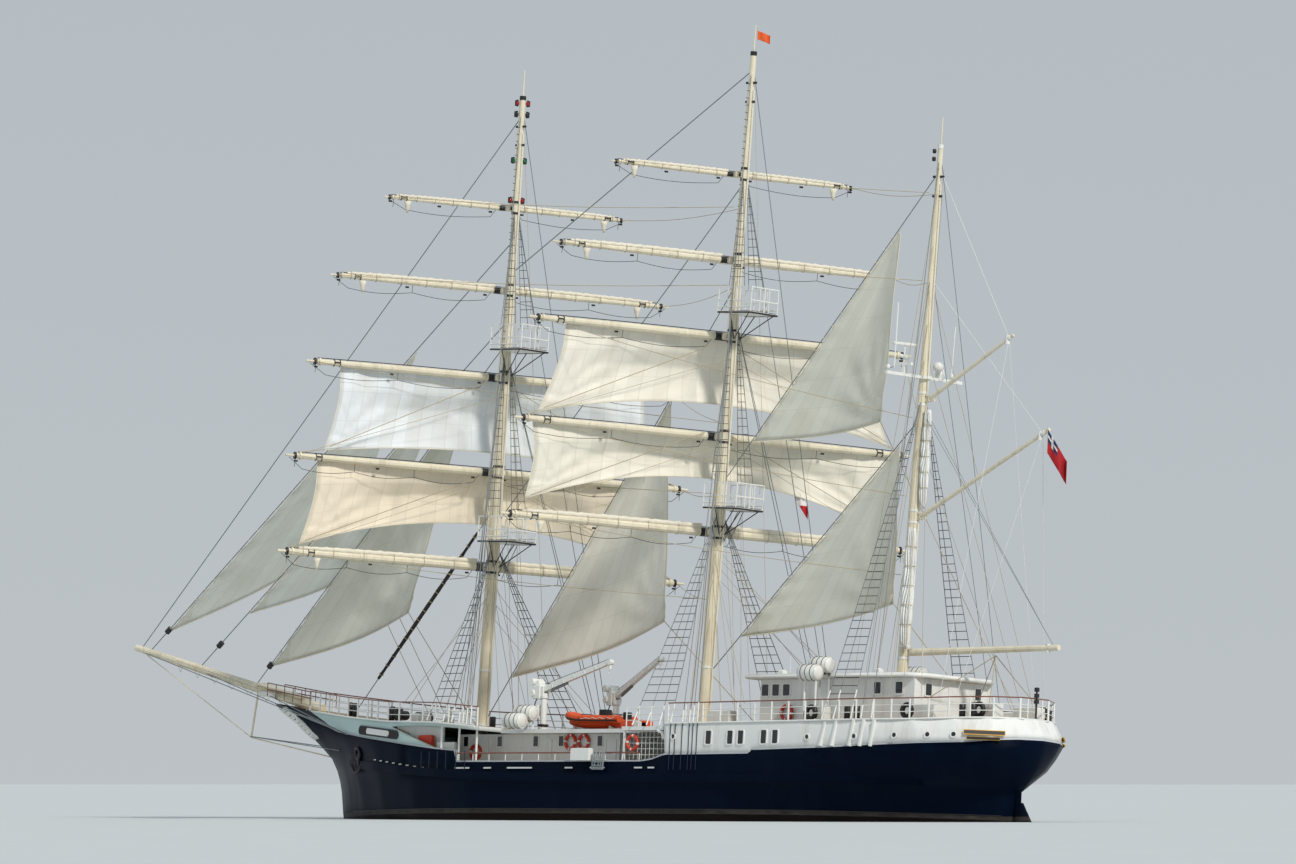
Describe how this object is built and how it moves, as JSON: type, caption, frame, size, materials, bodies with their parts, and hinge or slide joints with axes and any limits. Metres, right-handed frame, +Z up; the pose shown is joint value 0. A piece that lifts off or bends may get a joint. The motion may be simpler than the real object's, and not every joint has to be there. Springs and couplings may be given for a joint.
{
  "type": "sailing ship",
  "caption": "Barque under sail: long hull with raised poop and forecastle, braced yards with topsails, jibs and staysails, gaffs and boom, rudder, propellers and deck cranes.",
  "frame": {"origin": "waterline amidships on the centreline", "axes": "+X forward, +Y to port, +Z up"},
  "size_m": [33.7191, 10.625, 23.0282],
  "materials": {
    "navy_paint": "gloss",
    "white_paint": "satin",
    "cream_paint": "satin",
    "sailcloth": "matte woven",
    "wire": "galvanised",
    "bronze": "satin",
    "orange_hull": "gloss",
    "dark_paint": "satin"
  },
  "bodies": {
    "ship": {"hull": "navy_paint", "forecastle": "white_paint", "poop": "white_paint", "mid_deckhouse": "white_paint", "upper_deck": "white_paint", "wheelhouse": "white_paint", "wheelhouse_roof": "white_paint", "bowsprit": "cream_paint", "rescue_boat": "orange_hull", "fore_mast": "cream_paint", "main_mast": "cream_paint", "mizzen_mast": "cream_paint", "fore_lower_top": "white_paint", "fore_upper_top": "white_paint", "main_lower_top": "white_paint", "main_upper_top": "white_paint", "mizzen_crosstree": "white_paint", "lower_spanker_brailed": "sailcloth", "upper_spanker_brailed": "sailcloth", "outer_jib_stay": "wire", "middle_jib_stay": "wire", "inner_jib_stay": "wire", "main_stay": "wire", "mizzen_stay": "wire", "mizzen_topmast_stay": "wire", "fore_stay": "wire", "flying_jib_stay": "wire", "main_topgallant_stay": "wire", "main_royal_stay": "wire", "outer_jib": "sailcloth", "middle_jib": "sailcloth", "inner_jib": "sailcloth", "main_staysail": "sailcloth", "mizzen_staysail": "sailcloth", "mizzen_topmast_staysail": "sailcloth"},
    "rudder": {"rudder": "dark_paint"},
    "port_propeller": {"propeller_port": "bronze"},
    "starboard_propeller": {"propeller_starboard": "bronze"},
    "port_crane": {"crane_port_column": "white_paint"},
    "port_jib": {"crane_port_jib": "white_paint"},
    "starboard_crane": {"crane_starboard_column": "white_paint"},
    "starboard_jib": {"crane_starboard_jib": "white_paint"},
    "boom": {"boom": "cream_paint"},
    "lower_gaff": {"lower_gaff": "cream_paint"},
    "upper_gaff": {"upper_gaff": "cream_paint"},
    "fore_lower_yards": {"fore_course_yard": "cream_paint", "fore_lower_topsail_yard": "cream_paint", "fore_upper_topsail_yard": "cream_paint", "fore_lower_topsail": "sailcloth", "fore_upper_topsail": "sailcloth"},
    "fore_topgallant_yard": {"fore_topgallant_yard": "cream_paint"},
    "fore_royal_yard": {"fore_royal_yard": "cream_paint"},
    "main_lower_yards": {"main_course_yard": "cream_paint", "main_lower_topsail_yard": "cream_paint", "main_upper_topsail_yard": "cream_paint", "main_lower_topsail": "sailcloth", "main_upper_topsail": "sailcloth"},
    "main_topgallant_yard": {"main_topgallant_yard": "cream_paint"},
    "main_royal_yard": {"main_royal_yard": "cream_paint"}
  },
  "joints": [
    {"name": "rudder_steer", "type": "hinge", "parent": "ship", "child": "rudder", "pos_m": [-11.54, 0, 0], "axis": [0, 0, 1], "range_deg": [-35, 35]},
    {"name": "port_propeller_spin", "type": "hinge", "parent": "ship", "child": "port_propeller", "pos_m": [-9.75, 0.975, -1.4], "axis": [1, 0, 0], "continuous": true},
    {"name": "starboard_propeller_spin", "type": "hinge", "parent": "ship", "child": "starboard_propeller", "pos_m": [-9.75, -0.975, -1.4], "axis": [1, 0, 0], "continuous": true},
    {"name": "fore_lower_yards_brace", "type": "hinge", "parent": "ship", "child": "fore_lower_yards", "pos_m": [7.47463, 0, 6.75519], "axis": [-0.0297, 0, 0.9996], "range_deg": [-15, 65]},
    {"name": "fore_topgallant_yard_brace", "type": "hinge", "parent": "ship", "child": "fore_topgallant_yard", "pos_m": [7.47463, 0, 6.75519], "axis": [-0.0297, 0, 0.9996], "range_deg": [-15, 65]},
    {"name": "fore_royal_yard_brace", "type": "hinge", "parent": "ship", "child": "fore_royal_yard", "pos_m": [7.47463, 0, 6.75519], "axis": [-0.0297, 0, 0.9996], "range_deg": [-15, 65]},
    {"name": "main_lower_yards_brace", "type": "hinge", "parent": "ship", "child": "main_lower_yards", "pos_m": [-0.68336, 0, 7.50468], "axis": [-0.0464, 0, 0.9989], "range_deg": [-17, 63]},
    {"name": "main_topgallant_yard_brace", "type": "hinge", "parent": "ship", "child": "main_topgallant_yard", "pos_m": [-0.68336, 0, 7.50468], "axis": [-0.0464, 0, 0.9989], "range_deg": [-17, 63]},
    {"name": "main_royal_yard_brace", "type": "hinge", "parent": "ship", "child": "main_royal_yard", "pos_m": [-0.68336, 0, 7.50468], "axis": [-0.0464, 0, 0.9989], "range_deg": [-17, 63]},
    {"name": "boom_swing", "type": "hinge", "parent": "ship", "child": "boom", "pos_m": [-7.79206, 0, 4.28446], "axis": [-0.0459, 0, 0.9989], "range_deg": [-40, 40]},
    {"name": "lower_gaff_swing", "type": "hinge", "parent": "ship", "child": "lower_gaff", "pos_m": [-7.79206, 0, 4.28446], "axis": [-0.0459, 0, 0.9989], "range_deg": [-35, 35]},
    {"name": "upper_gaff_swing", "type": "hinge", "parent": "ship", "child": "upper_gaff", "pos_m": [-7.79206, 0, 4.28446], "axis": [-0.0459, 0, 0.9989], "range_deg": [-35, 35]},
    {"name": "port_crane_slew", "type": "hinge", "parent": "ship", "child": "port_crane", "pos_m": [3.85, 1.25, 2.3], "axis": [0, 0, 1], "range_deg": [-135, 20]},
    {"name": "port_jib_luff", "type": "hinge", "parent": "port_crane", "child": "port_jib", "pos_m": [3.85, 1.25, 3.35], "axis": [0, 1, 0], "range_deg": [-14, 20]},
    {"name": "starboard_crane_slew", "type": "hinge", "parent": "ship", "child": "starboard_crane", "pos_m": [3.6, -1.25, 2.3], "axis": [0, 0, 1], "range_deg": [0, 155]},
    {"name": "starboard_jib_luff", "type": "hinge", "parent": "starboard_crane", "child": "starboard_jib", "pos_m": [3.6, -1.25, 3.35], "axis": [0.2924, 0.9563, 0], "range_deg": [-14, 20]}
  ]
}
